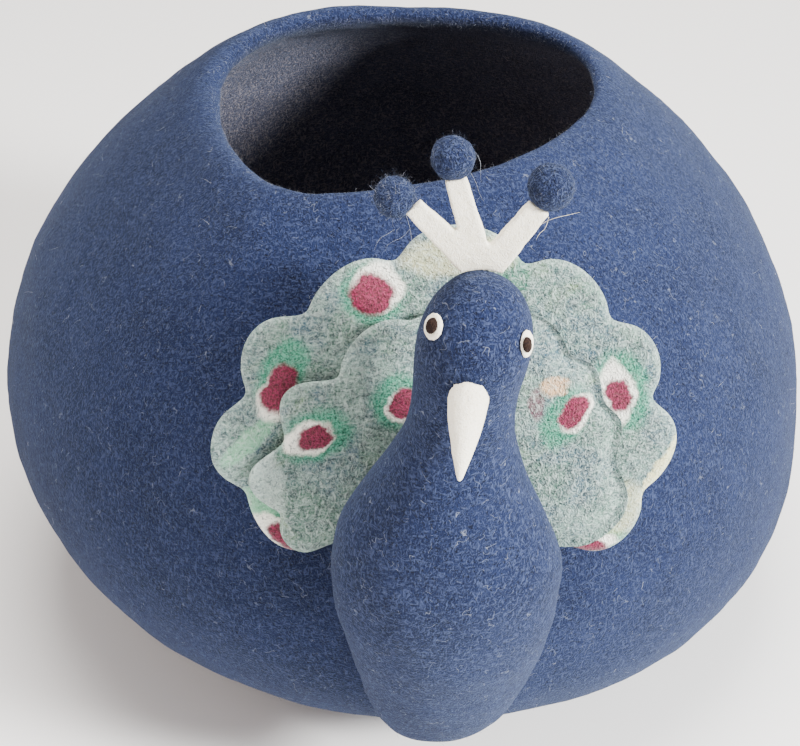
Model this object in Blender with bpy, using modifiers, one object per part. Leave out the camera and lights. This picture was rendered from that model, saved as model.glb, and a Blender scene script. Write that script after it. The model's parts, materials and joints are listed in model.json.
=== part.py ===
"""Felt cat cave: a low round pot of thick wet-felted wool, open at the top, with a stuffed
peacock on its front wall and the peacock's scalloped two-layer tail standing behind it.

Metres, +Z up. The origin is on the floor under the pot's middle, and the peacock faces -Y.
"""
import math

import bmesh
import bpy
from mathutils import Vector
from mathutils.bvhtree import BVHTree
from mathutils.kdtree import KDTree

GAP = 0.0003  # between pieces that touch

# the pot
CAVE_RADIUS = 0.2355
CAVE_HEIGHT = 0.322  # floor to the mouth's upper edge
WIDEST_HEIGHT = 0.121  # mean height of the widest ring
WIDEST_TILT = 0.0420  # that ring is lower on the right by this and higher on the left
MOUTH_SHIFT = 0.0055  # of the mouth's middle, sideways
# the uneven mouth, anticlockwise from the right: radius inside the lip, height above the mean
MOUTH = (
    (0.0930, 0.0020),
    (0.1015, 0.0015),
    (0.1003, 0.0000),
    (0.0967, -0.0010),
    (0.1037, 0.0000),
    (0.1000, 0.0000),
    (0.0890, -0.0020),
    (0.0922, -0.0005),
    (0.1096, 0.0020),
    (0.0928, 0.0060),
    (0.0884, 0.0070),
    (0.0846, 0.0045),
)
LEAN = 0.126  # sideways shift for each metre above the widest ring
SHOULDER_POWER = 2.3
BELLY_POWER = 2.20
BELLY_POWER_RIGHT = 0.13  # more on the right, less on the left
BASE_CUT = 0.011  # the round belly is flattened by this where it stands
BASE_CUT_RIGHT = 0.004
BODY_SHIFT = 0.003  # of the widest ring, sideways
WALL = 0.0085
LIP = 0.0165  # the wall is felted thicker at the mouth, this much on the left
LIP_RIGHT = 0.30  # share of that thickening on the right
LIP_DEPTH = 0.030  # height over which it thickens
CAVE_SIDES = 26
# heights of the pot's rings from the mouth down, as shares of the height
CAVE_RINGS = (1.0, 0.965, 0.90, 0.81, 0.71, 0.60, 0.48, 0.36, 0.24, 0.135, 0.05, 0.0)
BASE_RINGS = (0.72, 0.36)  # rings of the flat base, as shares of its radius

# the tail: two flat sheets of felt, standing nearly upright on the front wall
SHEET = 0.0036
TAIL_LEAN = math.radians(8.5)  # backwards
TAIL_FOOT_HEIGHT = 0.190
TAIL_X = 0.026
TAIL_HUB = 0.075  # height of the scallops' centre above the foot, along the sheet
TAIL_CUP = 0.006  # the sides stand this far forward, 100 mm out from the middle
TAIL_RIPPLE = 0.0015
TAIL_WAVES = 5  # ripples round the sheet
TAIL_REACH = 0.105  # from the hub to the scallops' ends, about
TAIL_START = 0.03  # a sheet is laid out this far in front of the pot, then slid back
CURL = 0.010  # one scallop on the left is bent forward
CURL_ANGLE = math.radians(189)
CURL_WIDTH = math.radians(10)
FRONT_LIFT = 0.0045  # the front sheet's edge stands off the rear one
FRONT_LIFT_RIGHT = 0.2  # share of that on the right, where the edge is felted down
LIFT_FADE = 0.025  # width over which the lift fades, to the right of the tail's middle
# scallops anticlockwise from the lower right: notch angle (degrees), notch radius, reach
REAR_SCALLOPS = (
    (-53, 0.0930, 0.1100),
    (-26, 0.1012, 0.1080),
    (4, 0.092, 0.1005),
    (32, 0.085, 0.0925),
    (66, 0.0775, 0.0935),
    (110, 0.0772, 0.0885),
    (145, 0.0830, 0.1035),
    (175, 0.0955, 0.115),
    (203, 0.107, 0.1125),
    (231, 0.093, None),
)
FRONT_SCALLOPS = (
    (-53, 0.0918, 0.1005),
    (-23, 0.0895, 0.0815),
    (3, 0.0730, 0.0715),
    (28, 0.062, 0.065),
    (62, 0.052, 0.056),
    (112, 0.052, 0.061),
    (161, 0.056, 0.082),
    (189, 0.080, 0.103),
    (212, 0.096, 0.105),
    (230, 0.088, None),
)
SCALLOP_STEPS = 7
FOOT_STEPS = 10
SCALLOP_ROUNDNESS = 0.55
REAR_RINGS = (0.0, 0.25, 0.45, 0.62, 0.77, 0.9, 1.0)
FRONT_RINGS = (0.0, 0.3, 0.55, 0.78, 1.0)

# the bird: height, middle across, middle front to back, half width, half depth
BIRD_SECTIONS = (
    (0.0555, 0.0185, -0.2155, 0.0105, 0.0065),
    (0.0660, 0.0205, -0.2235, 0.0225, 0.0100),
    (0.0900, 0.0222, -0.2350, 0.0335, 0.0150),
    (0.1130, 0.0228, -0.2400, 0.0400, 0.0240),
    (0.1510, 0.0239, -0.2490, 0.0485, 0.0340),
    (0.1815, 0.0230, -0.2545, 0.0538, 0.0390),
    (0.2075, 0.0231, -0.2555, 0.0557, 0.0410),
    (0.2310, 0.0212, -0.2565, 0.0492, 0.0385),
    (0.2565, 0.0233, -0.2585, 0.0363, 0.0320),
    (0.2866, 0.0278, -0.2620, 0.0247, 0.0245),
    (0.3107, 0.0300, -0.2650, 0.0234, 0.0238),
    (0.3290, 0.0328, -0.2655, 0.0254, 0.0258),
    (0.3425, 0.0342, -0.2650, 0.0260, 0.0265),
    (0.3564, 0.0353, -0.2640, 0.0215, 0.0220),
    (0.3655, 0.0358, -0.2630, 0.0120, 0.0125),
)
BIRD_SIDES = 12
BIRD_RING_STEP = 0.016  # the most between two rings of the bird's cage
BIRD_TIP_OVERHANG = 0.0030  # of the end caps past the first and last section
SPREAD = 3 / (2 + math.cos(2 * math.pi / BIRD_SIDES))  # subdividing draws a ring in by this
SEAT_REACH = 0.012  # how far around a point of the bird's back its seat is felt for
HEAD = Vector((0.0344, -0.2650, 0.3420))

# eyes: side, then for the white and for the pupil: direction from the head's middle, radius,
# width as a share of the height
EYES = (
    (
        "left",
        (Vector((-0.792, -0.468, 0.400)), 0.0061, 1.0),
        (Vector((-0.758, -0.510, 0.440)), 0.0031, 0.9),
    ),
    (
        "right",
        (Vector((0.835, -0.550, 0.095)), 0.0067, 0.72),
        (Vector((0.778, -0.622, 0.150)), 0.0031, 0.66),
    ),
)
EYE_BULGE = 0.0026
PUPIL_BULGE = 0.0016
LENS_STEPS = 8
ROUND_SIDES = 14  # of the eyes and the beak

BEAK_ROOT = Vector((0.0312, -0.2850, 0.3288))
BEAK_TIP = Vector((0.0261, -0.3190, 0.3008))
BEAK_RADIUS = 0.0090
# the beak's profile from its tip: share of the length, share of the radius
BEAK_PROFILE = (
    (1.0, 0.0),
    (0.97, 0.13),
    (0.88, 0.27),
    (0.72, 0.49),
    (0.52, 0.74),
    (0.34, 0.92),
    (0.18, 1.0),
    (0.06, 0.96),
    (0.0, 0.80),
    (-0.04, 0.45),
    (-0.05, 0.0),
)

# crest: one piece of felt cut into three prongs, in an upright plane, with a ball on each
CREST_Y = -0.2530
CREST_ROOT = (0.0368, 0.3648)
CREST_THICKNESS = 0.0034
CREST_ROOT_HALF_WIDTH = 0.0060
CREST_DEPTH = 0.011  # of the root below the prongs' meeting point
CREST_FLARE = 1.15  # the root is this much wider where the prongs leave it
# name, prong end across and up, half width there, ball's middle across and up, ball radius
PRONGS = (
    ("left", 0.0066, 0.3972, 0.0045, -0.0010, 0.4000, 0.0092),
    ("middle", 0.0244, 0.4108, 0.0046, 0.0233, 0.4186, 0.0097),
    ("right", 0.0600, 0.3966, 0.0053, 0.0649, 0.4046, 0.0104),
)
BALL_SET_BACK = 0.0030

for old in list(bpy.data.objects):
    bpy.data.objects.remove(old, do_unlink=True)

parts = bpy.data.collections.new("felt_cat_cave")
cutters = bpy.data.collections.new("cutters")
for group in (parts, cutters):
    bpy.context.scene.collection.children.link(group)


def felt(name, colour, roughness=0.95):
    material = bpy.data.materials.new(name)
    material.use_nodes = True
    shader = material.node_tree.nodes["Principled BSDF"]
    shader.inputs["Base Color"].default_value = (*colour, 1)
    shader.inputs["Roughness"].default_value = roughness
    shader.inputs["Metallic"].default_value = 0.0
    return material


navy = felt("navy_felt", (0.030, 0.052, 0.115))
marbled = felt("marbled_felt", (0.26, 0.38, 0.35))
cream = felt("cream_felt", (0.82, 0.76, 0.60))
dark = felt("dark_felt", (0.030, 0.016, 0.012))


def add_part(name, mesh, material):
    """A finished piece, shaded smooth but for its cut edges."""
    mesh.materials.clear()
    mesh.materials.append(material)
    mesh.shade_smooth()
    mesh.set_sharp_from_angle(angle=math.radians(50))
    piece = bpy.data.objects.new(name, mesh)
    parts.objects.link(piece)
    return piece


def settled(piece):
    """The piece's mesh with its modifiers in it."""
    depsgraph = bpy.context.evaluated_depsgraph_get()
    return bpy.data.meshes.new_from_object(piece.evaluated_get(depsgraph))


def shaped(mesh, *modifiers):
    """The mesh after a row of modifiers, each a (type, settings) pair."""
    carrier = bpy.data.objects.new("carrier", mesh)
    cutters.objects.link(carrier)
    for kind, settings in modifiers:
        modifier = carrier.modifiers.new(kind.lower(), kind)
        for key, value in settings.items():
            setattr(modifier, key, value)
    result = settled(carrier)
    bpy.data.objects.remove(carrier, do_unlink=True)
    return result


def turned(profile, steps):
    """A profile of (radius, height) points turned about Z; an outer side runs downwards."""
    outline = bpy.data.meshes.new("profile")
    edges = [(i, i + 1) for i in range(len(profile) - 1)]
    outline.from_pydata([(radius, 0, height) for radius, height in profile], edges, [])
    screw = {
        "axis": "Z",
        "steps": steps,
        "render_steps": steps,
        "use_merge_vertices": True,
        "merge_threshold": 0.0001,
    }
    return shaped(outline, ("SCREW", screw))


def surface_tree(piece):
    mesh = settled(piece)
    mesh.calc_loop_triangles()
    points = [vertex.co.copy() for vertex in mesh.vertices]
    faces = [tuple(triangle.vertices) for triangle in mesh.loop_triangles]
    return BVHTree.FromPolygons(points, faces)


def foremost_finder(piece):
    """A function that gives the foremost Y of a piece near a place seen from the front."""
    tree = surface_tree(piece)
    points = [vertex.co.copy() for vertex in piece.data.vertices]
    flat = KDTree(len(points))
    for index, point in enumerate(points):
        flat.insert((point.x, 0, point.z), index)
    flat.balance()

    def foremost(x, z):
        near = [points[index].y for _, index, _ in flat.find_range((x, 0, z), SEAT_REACH)]
        for dx in (-SEAT_REACH, 0, SEAT_REACH):
            hit = tree.ray_cast(Vector((x + dx, -1, z)), Vector((0, 1, 0)))[0]
            near += [hit.y] if hit else []
        return min(near, default=1.0)

    return foremost


def swollen_cutter(piece):
    """A copy of a piece, GAP larger all round, that cuts a seat for it in its neighbour."""
    mesh = settled(piece)
    pushed = [vertex.co + vertex.normal * GAP for vertex in mesh.vertices]
    for vertex, place in zip(mesh.vertices, pushed):
        vertex.co = place
    cutter = bpy.data.objects.new(piece.name + "_cutter", mesh)
    cutter.hide_render = True
    cutter.display_type = "WIRE"
    cutters.objects.link(cutter)
    return cutter


def cut(piece, cutter):
    seat = piece.modifiers.new("seat", "BOOLEAN")
    seat.operation = "DIFFERENCE"
    seat.solver = "EXACT"
    seat.object = cutter


def slide_back(points, trees, clearance):
    """How far points in front of the trees may move along +Y until the nearest is clear."""
    moved = 0.0
    for _ in range(40):
        nearest = min(
            tree.find_nearest(point + Vector((0, moved, 0)))[3]
            for point in points
            for tree in trees
        )
        moved += nearest - clearance
    return moved


# ---- the pot ----


def mouth_value(column, angle):
    """The mouth's table read at any angle, as a smooth closed curve through its rows."""
    place = (angle / (2 * math.pi) % 1) * len(MOUTH)
    row = int(place)
    along = place - row
    before, start, end, after = (MOUTH[(row + i) % len(MOUTH)][column] for i in (-1, 0, 1, 2))
    return start + 0.5 * along * (
        end - before
        + along * (2 * before - 5 * start + 4 * end - after)
        + along**2 * (3 * (start - end) + after - before)
    )


def cave_radius(height, angle, mouth):
    """Outer radius of the pot at a height, on the side that the angle gives."""
    side = math.cos(angle)
    widest = WIDEST_HEIGHT - WIDEST_TILT * side
    if height > widest:
        up = (height - widest) / (CAVE_HEIGHT - widest)
        return mouth + (CAVE_RADIUS - mouth) * (1 - up**SHOULDER_POWER)
    down = (widest - height) / (widest + BASE_CUT + BASE_CUT_RIGHT * side)
    power = BELLY_POWER + BELLY_POWER_RIGHT * side
    return CAVE_RADIUS * (1 - down**power) ** (1 / power)


def lip_share(angle):
    """Share of the mouth's thickening on the side that the angle gives."""
    return (1 + LIP_RIGHT) / 2 - (1 - LIP_RIGHT) / 2 * math.cos(angle)


def cave_middle(height):
    """Sideways place of the pot's middle at a height."""
    above = height - WIDEST_HEIGHT
    if above < 0:
        return BODY_SHIFT + LEAN * above
    rise = (above / (CAVE_HEIGHT - WIDEST_HEIGHT)) ** 2
    return (BODY_SHIFT + LEAN * above) * (1 - rise) + MOUTH_SHIFT * rise


def make_cave():
    even_mouth = sum(row[0] for row in MOUTH) / len(MOUTH) + LIP
    even = {
        share: cave_radius(share * CAVE_HEIGHT, math.pi / 2, even_mouth)
        for share in CAVE_RINGS
    }
    profile = [(even[share], share * CAVE_HEIGHT) for share in CAVE_RINGS]
    profile += [(share * even[0.0], 0.0) for share in BASE_RINGS] + [(0.0, 0.0)]
    mesh = turned(profile, CAVE_SIDES)
    lip = {}
    for vertex in mesh.vertices:
        x, y, z = vertex.co
        angle = math.atan2(y, x)
        mouth = mouth_value(0, angle) + WALL + (LIP - WALL) * lip_share(angle)
        ring = min(CAVE_RINGS, key=lambda share: abs(share * CAVE_HEIGHT - z))
        stretch = cave_radius(z, angle, mouth) / even[ring]
        rise = mouth_value(1, angle) * (z / CAVE_HEIGHT) ** 4
        vertex.co = (x * stretch + cave_middle(z), y * stretch, z + rise)
        lip[vertex.index] = max(0.0, 1 - (CAVE_HEIGHT - z) / LIP_DEPTH) * lip_share(angle)
    cave = bpy.data.objects.new("cave_surface", mesh)
    cutters.objects.link(cave)
    group = cave.vertex_groups.new(name="lip")
    for index, weight in lip.items():
        group.add([index], weight, "REPLACE")
    solidify = cave.modifiers.new("wall", "SOLIDIFY")
    solidify.thickness = LIP
    solidify.offset = -1
    solidify.vertex_group = "lip"
    solidify.thickness_vertex_group = WALL / LIP
    smooth = cave.modifiers.new("smooth", "SUBSURF")
    smooth.levels = 1
    smooth.render_levels = 1
    result = settled(cave)
    bpy.data.objects.remove(cave, do_unlink=True)
    return add_part("cave_shell", result, navy)


# ---- the tail ----


def scallop_outline(scallops):
    """(angle, radius) all round a sheet: its scallops, then the straight foot."""
    outline = []
    for first, second in zip(scallops, scallops[1:]):
        for step in range(SCALLOP_STEPS):
            along = step / SCALLOP_STEPS
            bulge = math.sin(math.pi * along) ** SCALLOP_ROUNDNESS if step else 0.0
            chord = first[1] + (second[1] - first[1]) * along
            angle = first[0] + (second[0] - first[0]) * along
            outline.append((math.radians(angle), chord + (first[2] - chord) * bulge))
    start, end = scallops[-1], scallops[0]
    corners = []
    for angle, radius in ((start[0], start[1]), (end[0] + 360, end[1])):
        turn = math.radians(angle)
        corners.append(Vector((radius * math.cos(turn), radius * math.sin(turn))))
    for step in range(FOOT_STEPS):
        point = corners[0].lerp(corners[1], step / FOOT_STEPS)
        outline.append((math.atan2(point.y, point.x) % (2 * math.pi), point.length))
    return outline


REAR_OUTLINE = scallop_outline(REAR_SCALLOPS)
FRONT_OUTLINE = scallop_outline(FRONT_SCALLOPS)


def tail_relief(across, up):
    """How far the rear sheet stands forward of its plane, from its hub."""
    radius = math.hypot(across, up)
    angle = math.atan2(up, across) % (2 * math.pi)
    share = radius / TAIL_REACH
    cup = TAIL_CUP * (across / 0.1) ** 2
    ripple = TAIL_RIPPLE * math.sin(TAIL_WAVES * angle + 0.6) * share**3
    curl = CURL * math.exp(-(((angle - CURL_ANGLE) / CURL_WIDTH) ** 2)) * share**4
    return cup + ripple + curl


def tail_place(across, up, forward):
    """A point of the tail, from its hub along the leaning sheet."""
    height = TAIL_HUB + up
    return Vector(
        (
            TAIL_X + across,
            height * math.sin(TAIL_LEAN)
            - forward * math.cos(TAIL_LEAN)
            - CAVE_RADIUS
            - TAIL_START,
            TAIL_FOOT_HEIGHT + height * math.cos(TAIL_LEAN) + forward * math.sin(TAIL_LEAN),
        )
    )


def make_sheet(name, outline, rings, lift, behind):
    """A scalloped sheet, slid back until it touches one of the pieces behind it."""
    steps = len(outline)
    mesh = turned([(ring, 0.0) for ring in rings], steps)
    for vertex in mesh.vertices:
        share = math.hypot(vertex.co.x, vertex.co.y)
        turn = math.atan2(vertex.co.y, vertex.co.x) % (2 * math.pi)
        angle, radius = outline[round(turn / (2 * math.pi) * steps) % steps]
        across = share * radius * math.cos(angle)
        up = share * radius * math.sin(angle)
        side = 1 - (1 - FRONT_LIFT_RIGHT) * max(0.0, min(1.0, across / LIFT_FADE))
        forward = tail_relief(across, up) + lift * side * share**3
        vertex.co = tail_place(across, up, forward)
    trees = [surface_tree(piece) for piece in behind]
    points = [vertex.co.copy() for vertex in mesh.vertices]
    back = slide_back(points, trees, SHEET / 2 + GAP)
    for vertex in mesh.vertices:
        vertex.co.y += back
    thick = {"thickness": SHEET, "offset": 0, "use_even_offset": True}
    return add_part(name, shaped(mesh, ("SOLIDIFY", thick)), marbled)


# ---- the bird ----


def close_sections():
    """The bird's sections, with others between those that lie far apart."""
    sections = [BIRD_SECTIONS[0]]
    for lower, upper in zip(BIRD_SECTIONS, BIRD_SECTIONS[1:]):
        steps = math.ceil((upper[0] - lower[0]) / BIRD_RING_STEP)
        for step in range(1, steps + 1):
            along = step / steps
            sections.append(tuple(a + (b - a) * along for a, b in zip(lower, upper)))
    return sections


def make_bird(behind):
    """Breast, neck and head as one stuffed form, its back flattened on what it lies on."""
    cage = bmesh.new()
    rings = []
    for height, across, forward, half_width, half_depth in close_sections():
        ring = []
        for side in range(BIRD_SIDES):
            angle = 2 * math.pi * side / BIRD_SIDES
            x = across + half_width * SPREAD * math.cos(angle)
            y = forward + half_depth * SPREAD * math.sin(angle)
            ring.append(cage.verts.new((x, y, height)))
        rings.append(ring)
    for lower, upper in zip(rings, rings[1:]):
        for side in range(BIRD_SIDES):
            after = (side + 1) % BIRD_SIDES
            cage.faces.new((lower[side], lower[after], upper[after], upper[side]))
    for ring, section, way in ((rings[0], BIRD_SECTIONS[0], -1), (rings[-1], BIRD_SECTIONS[-1], 1)):
        pole = cage.verts.new((section[1], section[2], section[0] + way * BIRD_TIP_OVERHANG))
        for side in range(BIRD_SIDES):
            pair = (ring[side], ring[(side + 1) % BIRD_SIDES])
            cage.faces.new((*pair, pole) if way > 0 else (*pair[::-1], pole))
    mesh = bpy.data.meshes.new("bird_cage")
    cage.to_mesh(mesh)
    cage.free()
    mesh = shaped(mesh, ("SUBSURF", {"levels": 1, "render_levels": 1}))
    finders = [foremost_finder(piece) for piece in behind]
    for vertex in mesh.vertices:
        seat = min(finder(vertex.co.x, vertex.co.z) for finder in finders)
        vertex.co.y = min(vertex.co.y, seat - GAP)
    return add_part("bird_body", mesh, navy)


def disc_on_head(tree, lens, bulge):
    """A lens of felt whose middle lies on the surface that its direction meets."""
    direction, radius, width = lens
    direction = direction.normalized()
    hit = tree.ray_cast(HEAD + direction * 0.1, -direction)[0]
    turns = [math.pi * step / LENS_STEPS for step in range(1, LENS_STEPS)]
    rim = [(radius * math.sin(turn), bulge * math.cos(turn)) for turn in turns]
    mesh = turned([(0.0, bulge), *rim, (0.0, -bulge)], ROUND_SIDES)
    for vertex in mesh.vertices:
        vertex.co.x *= width
    turn = direction.to_track_quat("Z", "Y").to_matrix().to_4x4()
    turn.translation = hit
    mesh.transform(turn)
    return mesh


def make_eyes(bird, bird_cutter):
    for side, white_lens, pupil_lens in EYES:
        lens = disc_on_head(surface_tree(bird), white_lens, EYE_BULGE)
        white = add_part("eye_white_" + side, lens, cream)
        cut(white, bird_cutter)
        dot = disc_on_head(surface_tree(white), pupil_lens, PUPIL_BULGE)
        pupil = add_part("eye_pupil_" + side, dot, dark)
        cut(pupil, swollen_cutter(white))
        cut(pupil, bird_cutter)


def make_beak(bird_cutter):
    length = (BEAK_TIP - BEAK_ROOT).length
    profile = [(BEAK_RADIUS * across, length * along) for along, across in BEAK_PROFILE]
    mesh = turned(profile, ROUND_SIDES)
    turn = (BEAK_TIP - BEAK_ROOT).to_track_quat("Z", "Y").to_matrix().to_4x4()
    turn.translation = BEAK_ROOT
    mesh.transform(turn)
    beak = add_part("beak", mesh, cream)
    cut(beak, bird_cutter)


# ---- the crest ----


def meeting(line_a, line_b):
    """Where two lines in the crest's plane meet, each a (point, direction) pair."""
    (p, d), (q, e) = line_a, line_b
    along = ((q - p).x * e.y - (q - p).y * e.x) / (d.x * e.y - d.y * e.x)
    return p + d * along


def crest_outline():
    """The outline of the three prongs, clockwise from the lower left."""
    root = Vector(CREST_ROOT)
    sides = []
    for _, across, up, half_width, _, _, _ in PRONGS:
        end = Vector((across, up))
        way = (end - root).normalized()
        aside = Vector((-way.y, way.x))
        left = (root + aside * CREST_ROOT_HALF_WIDTH, end + aside * half_width)
        right = (root - aside * CREST_ROOT_HALF_WIDTH, end - aside * half_width)
        sides.append((left, right))
    flare = CREST_ROOT_HALF_WIDTH * CREST_FLARE
    outline = [root + Vector((-CREST_ROOT_HALF_WIDTH, -CREST_DEPTH))]
    outline.append(root + Vector((-flare, -CREST_DEPTH * 0.3)))
    for index, (left, right) in enumerate(sides):
        outline += [left[1], right[1]]
        if index < len(sides) - 1:
            after = sides[index + 1][0]
            line = (right[0], right[1] - right[0])
            outline.append(meeting(line, (after[0], after[1] - after[0])))
    outline.append(root + Vector((flare, -CREST_DEPTH * 0.3)))
    outline.append(root + Vector((CREST_ROOT_HALF_WIDTH, -CREST_DEPTH)))
    return outline


def make_crest(bird_cutter):
    curve = bpy.data.curves.new("crest_outline", "CURVE")
    curve.dimensions = "2D"
    curve.fill_mode = "BOTH"
    curve.extrude = CREST_THICKNESS / 2
    points = crest_outline()
    spline = curve.splines.new("POLY")
    spline.points.add(len(points) - 1)
    for place, point in zip(spline.points, points):
        place.co = (point.x, point.y, 0, 1)
    spline.use_cyclic_u = True
    flat = bpy.data.objects.new("crest_flat", curve)
    cutters.objects.link(flat)
    flat.rotation_euler = (math.pi / 2, 0, 0)
    flat.location = (0, CREST_Y, 0)
    bpy.context.view_layer.update()
    mesh = settled(flat)
    mesh.transform(flat.matrix_world)
    bpy.data.objects.remove(flat, do_unlink=True)
    welded = bmesh.new()
    welded.from_mesh(mesh)
    bmesh.ops.remove_doubles(welded, verts=welded.verts, dist=0.00005)
    bmesh.ops.recalc_face_normals(welded, faces=welded.faces)
    welded.to_mesh(mesh)
    welded.free()
    crest = add_part("crest_prongs", mesh, cream)
    cut(crest, bird_cutter)
    return crest


def make_balls(crest):
    crest_cutter = swollen_cutter(crest)
    for side, _, _, _, across, up, radius in PRONGS:
        ball = bmesh.new()
        bmesh.ops.create_uvsphere(ball, u_segments=12, v_segments=8, radius=radius)
        mesh = bpy.data.meshes.new("crest_ball_" + side)
        ball.to_mesh(mesh)
        ball.free()
        for vertex in mesh.vertices:
            vertex.co += Vector((across, CREST_Y + BALL_SET_BACK, up))
        piece = add_part("crest_ball_" + side, mesh, navy)
        cut(piece, crest_cutter)


cave = make_cave()
rear = make_sheet("tail_back", REAR_OUTLINE, REAR_RINGS, 0.0, [cave])
front = make_sheet("tail_front", FRONT_OUTLINE, FRONT_RINGS, FRONT_LIFT, [rear, cave])
bird = make_bird([cave, rear, front])
bird_cutter = swollen_cutter(bird)
make_eyes(bird, bird_cutter)
make_beak(bird_cutter)
make_balls(make_crest(bird_cutter))
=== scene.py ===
import json
import math
import random

import bpy
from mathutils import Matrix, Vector
from mathutils.bvhtree import BVHTree
from mathutils.kdtree import KDTree

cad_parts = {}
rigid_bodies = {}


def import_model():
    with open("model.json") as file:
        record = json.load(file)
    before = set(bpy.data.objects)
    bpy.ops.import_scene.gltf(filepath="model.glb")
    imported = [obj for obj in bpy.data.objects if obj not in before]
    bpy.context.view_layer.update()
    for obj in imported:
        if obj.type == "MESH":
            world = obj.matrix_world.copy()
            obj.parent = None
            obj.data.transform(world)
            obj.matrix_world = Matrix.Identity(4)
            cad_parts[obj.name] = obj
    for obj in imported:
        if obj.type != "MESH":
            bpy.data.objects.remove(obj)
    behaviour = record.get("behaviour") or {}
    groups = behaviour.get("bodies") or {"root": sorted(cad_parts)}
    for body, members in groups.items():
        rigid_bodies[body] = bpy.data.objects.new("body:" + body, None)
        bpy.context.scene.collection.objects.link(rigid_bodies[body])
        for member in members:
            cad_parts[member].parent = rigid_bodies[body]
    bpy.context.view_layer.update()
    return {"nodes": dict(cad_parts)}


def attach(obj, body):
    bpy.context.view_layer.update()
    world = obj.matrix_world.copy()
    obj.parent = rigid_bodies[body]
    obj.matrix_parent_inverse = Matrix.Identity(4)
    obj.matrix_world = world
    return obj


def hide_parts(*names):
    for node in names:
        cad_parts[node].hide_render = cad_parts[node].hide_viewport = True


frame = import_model()


# small helpers for objects and modifiers

def deselectAll():
    if bpy.context.object and bpy.context.object.mode != "OBJECT":
        bpy.ops.object.mode_set(mode="OBJECT")
    bpy.ops.object.select_all(action="DESELECT")


def makeActive(piece):
    deselectAll()
    piece.select_set(True)
    bpy.context.view_layer.objects.active = piece


def applyModifier(piece, kind, **settings):
    makeActive(piece)
    modifier = piece.modifiers.new(kind.lower(), kind)
    for name, value in settings.items():
        setattr(modifier, name, value)
    bpy.ops.object.modifier_apply(modifier=modifier.name)


weldReach = 0.00001  # metres


def copyOfNode(node, name):
    # a welded copy of a frame solid, back in quads
    piece = bpy.data.objects.new(name, frame["nodes"][node].data.copy())
    bpy.context.scene.collection.objects.link(piece)
    piece.data.materials.clear()
    makeActive(piece)
    bpy.ops.mesh.customdata_custom_splitnormals_clear()
    bpy.ops.object.mode_set(mode="EDIT")
    bpy.ops.mesh.select_all(action="SELECT")
    bpy.ops.mesh.remove_doubles(threshold=weldReach)
    bpy.ops.mesh.tris_convert_to_quads()
    bpy.ops.object.mode_set(mode="OBJECT")
    return piece


def finerCopy(node, name):
    piece = copyOfNode(node, name)
    applyModifier(piece, "SUBSURF", levels=2, render_levels=2)
    return piece


def finishPiece(piece, material, node=None):
    makeActive(piece)
    bpy.ops.object.shade_smooth()
    piece.data.materials.clear()
    piece.data.materials.append(material)
    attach(piece, "root")
    if node:
        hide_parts(node)
    return piece


def smoothStep(low, high, value):
    share = min(max((value - low) / (high - low), 0.0), 1.0)
    return share * share * (3 - 2 * share)


def pointAttribute(piece, name, values):
    attribute = piece.data.attributes.new(name, "FLOAT", "POINT")
    attribute.data.foreach_set("value", values)


def vertexMask(piece, name, weightAt):
    group = piece.vertex_groups.new(name=name)
    for vertex in piece.data.vertices:
        group.add([vertex.index], weightAt(vertex), "REPLACE")


def lumps(piece, size, height, mask=""):
    # uneven felting: low bumps and hollows along the normals
    texture = bpy.data.textures.new(piece.name + "_lumps", "CLOUDS")
    texture.noise_scale = size
    texture.noise_depth = 2
    settings = {"texture": texture, "texture_coords": "LOCAL", "strength": height, "mid_level": 0.5}
    if mask:
        settings["vertex_group"] = mask
    applyModifier(piece, "DISPLACE", **settings)


def treeOf(piece):
    corners = [vertex.co.copy() for vertex in piece.data.vertices]
    faces = [tuple(face.vertices) for face in piece.data.polygons]
    return BVHTree.FromPolygons(corners, faces)


def distanceTo(nodes):
    # measures how far a point is from the nearest of these frame nodes
    trees = [treeOf(frame["nodes"][name]) for name in nodes]
    return lambda point: min(tree.find_nearest(point)[3] for tree in trees)


# small helpers for node trees

def feed(tree, socket, value):
    if isinstance(value, bpy.types.NodeSocket):
        tree.links.new(value, socket)
    elif value is not None:
        socket.default_value = value


def addNode(tree, kind, values=(), **settings):
    node = tree.nodes.new(kind)
    for name, value in settings.items():
        setattr(node, name, value)
    for name, value in dict(values).items():
        feed(tree, node.inputs[name], value)
    return node


def calc(tree, operation, *values):
    node = tree.nodes.new("ShaderNodeMath")
    node.operation = operation
    for socket, value in zip(node.inputs, values):
        feed(tree, socket, value)
    return node.outputs[0]


def vectorCalc(tree, operation, first, second=None, scale=None):
    node = tree.nodes.new("ShaderNodeVectorMath")
    node.operation = operation
    feed(tree, node.inputs[0], first)
    feed(tree, node.inputs[1], second)
    if scale is not None:
        feed(tree, node.inputs["Scale"], scale)
    return node.outputs["Vector"]


def noiseOf(tree, vector, scale, detail=1.0, output="Fac", distortion=0.0, roughness=0.5):
    values = {"Vector": vector, "Scale": scale, "Detail": detail}
    values |= {"Distortion": distortion, "Roughness": roughness}
    return addNode(tree, "ShaderNodeTexNoise", values).outputs[output]


def ramped(tree, value, low, high, start=0.0, end=1.0):
    values = {"Value": value, "From Min": low, "From Max": high, "To Min": start, "To Max": end}
    node = addNode(tree, "ShaderNodeMapRange", values, interpolation_type="SMOOTHSTEP")
    return node.outputs[0]


def mixed(tree, share, first, second, blend="MIX"):
    node = tree.nodes.new("ShaderNodeMix")
    node.data_type = "RGBA"
    node.blend_type = blend
    for socket, value in ((node.inputs[0], share), (node.inputs[6], first), (node.inputs[7], second)):
        feed(tree, socket, (*value, 1.0) if isinstance(value, tuple) and len(value) == 3 else value)
    return node.outputs[2]


def layered(tree, colour, mask, strength, tint, blend="MIX"):
    # lays a tint over the colour where the mask is, no stronger than strength
    return mixed(tree, calc(tree, "MULTIPLY", mask, strength), colour, tint, blend)


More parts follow.
